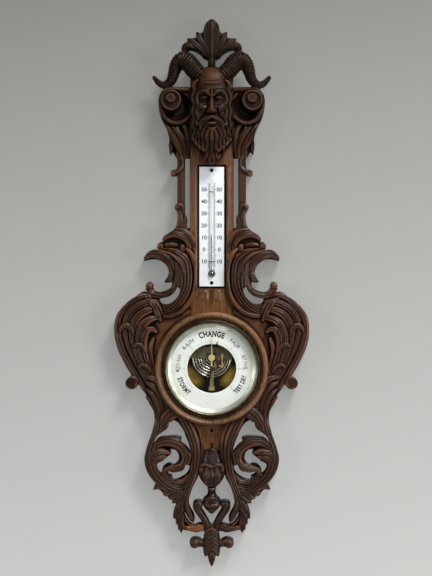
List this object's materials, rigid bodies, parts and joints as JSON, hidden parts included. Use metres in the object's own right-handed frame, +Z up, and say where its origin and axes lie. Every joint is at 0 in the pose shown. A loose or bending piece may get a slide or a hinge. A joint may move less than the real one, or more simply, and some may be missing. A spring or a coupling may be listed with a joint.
{
  "type": "carved wall barometer",
  "caption": "Carved walnut wall barometer with a thermometer on its neck and a glazed round dial that shows the aneroid movement.",
  "frame": {"origin": "the hole of the hanging plate, on the wall plane", "axes": "+Z up, -Y out of the wall toward the viewer, +X to the viewer's right; the wall is y = 0"},
  "size_m": [0.334, 0.078, 0.926],
  "materials": {
    "plain_walnut": "waxed plain walnut",
    "carved_walnut": "dark polished carved walnut",
    "enamel": "white enamelled plate",
    "tube_glass": "clear drawn glass",
    "dial_glass": "clear bevelled glass",
    "mercury": "liquid metal",
    "brass": "lacquered brass",
    "bezel_brass": "old pale brass",
    "dull_brass": "tarnished brass",
    "blued_steel": "blued steel",
    "nickel_silver": "turned nickel silver",
    "spring_bronze": "lacquered spring metal",
    "bright_steel": "polished steel"
  },
  "bodies": {
    "case_body": {"backboard": "plain_walnut", "turned_ring": "plain_walnut", "crest_palmette": "carved_walnut", "horn_left": "carved_walnut", "horn_right": "carved_walnut", "mask": "carved_walnut", "volute_left": "carved_walnut", "volute_right": "carved_walnut", "neck_strip_left": "carved_walnut", "neck_strip_right": "carved_walnut", "bird_head_left": "carved_walnut", "bird_head_right": "carved_walnut", "wing_left": "carved_walnut", "wing_right": "carved_walnut", "lower_scroll_left": "carved_walnut", "lower_scroll_right": "carved_walnut", "bud_drop": "carved_walnut", "pendant_strap": "carved_walnut", "tail_link_left": "carved_walnut", "tail_link_right": "carved_walnut", "pendant": "carved_walnut", "thermometer_plate": "enamel", "dial_ring": "enamel", "thermometer_tube": "tube_glass", "dial_glass": "dial_glass", "mercury": "mercury", "tube_clips": "brass", "plate_screws": "brass", "bezel": "bezel_brass", "movement_case": "dull_brass", "movement_base": "brass", "capsule": "nickel_silver", "main_spring": "spring_bronze", "spring_pillars": "brass", "lever_bracket": "brass", "bar_brackets": "brass", "drag_chain": "blued_steel", "front_cock": "spring_bronze", "rear_cock": "brass", "cock_pillar": "brass", "hairspring": "bright_steel", "case_screws": "brass", "hanging_plate": "dull_brass", "hanger_screws": "bright_steel"},
    "hand": {"pressure_hand": "blued_steel", "hand_arbor": "bright_steel"},
    "set_hand": {"set_hand": "brass", "set_knob": "brass"},
    "rocker": {"rocking_bar": "brass"},
    "lever": {"lever_arm": "spring_bronze"},
    "post": {"capsule_post": "brass"},
    "adjuster": {"adjusting_screw": "brass"}
  },
  "joints": [
    {"name": "post_slide", "type": "slide", "parent": "case_body", "child": "post", "axis": [0, -1, 0], "range_m": [-0.00059, 0.00059]},
    {"name": "hand_turn", "type": "hinge", "parent": "case_body", "child": "hand", "pos_m": [0, -0.0336, -0.473], "axis": [0, -1, 0], "range_deg": [-120, 120], "deforming": ["hairspring", "drag_chain"]},
    {"name": "set_hand_turn", "type": "hinge", "parent": "case_body", "child": "set_hand", "pos_m": [0, -0.0352, -0.473], "axis": [0, -1, 0], "continuous": true},
    {"name": "rocker_turn", "type": "hinge", "parent": "case_body", "child": "rocker", "pos_m": [0, -0.0196, -0.47], "axis": [1, 0, 0], "range_deg": [-20, 20]},
    {"name": "lever_turn", "type": "hinge", "parent": "case_body", "child": "lever", "pos_m": [0, -0.024, -0.449], "axis": [1, 0, 0], "range_deg": [-6, 6]},
    {"name": "adjuster_turn", "type": "hinge", "parent": "case_body", "child": "adjuster", "pos_m": [0, -0.002, -0.4555], "axis": [0, 1, 0], "continuous": true}
  ],
  "couplings": [
    {"joint": "lever_turn", "follows": "post_slide", "rad_per_m": -153.85},
    {"joint": "rocker_turn", "follows": "post_slide", "rad_per_m": -557.69},
    {"joint": "hand_turn", "follows": "post_slide", "rad_per_m": 3543}
  ]
}
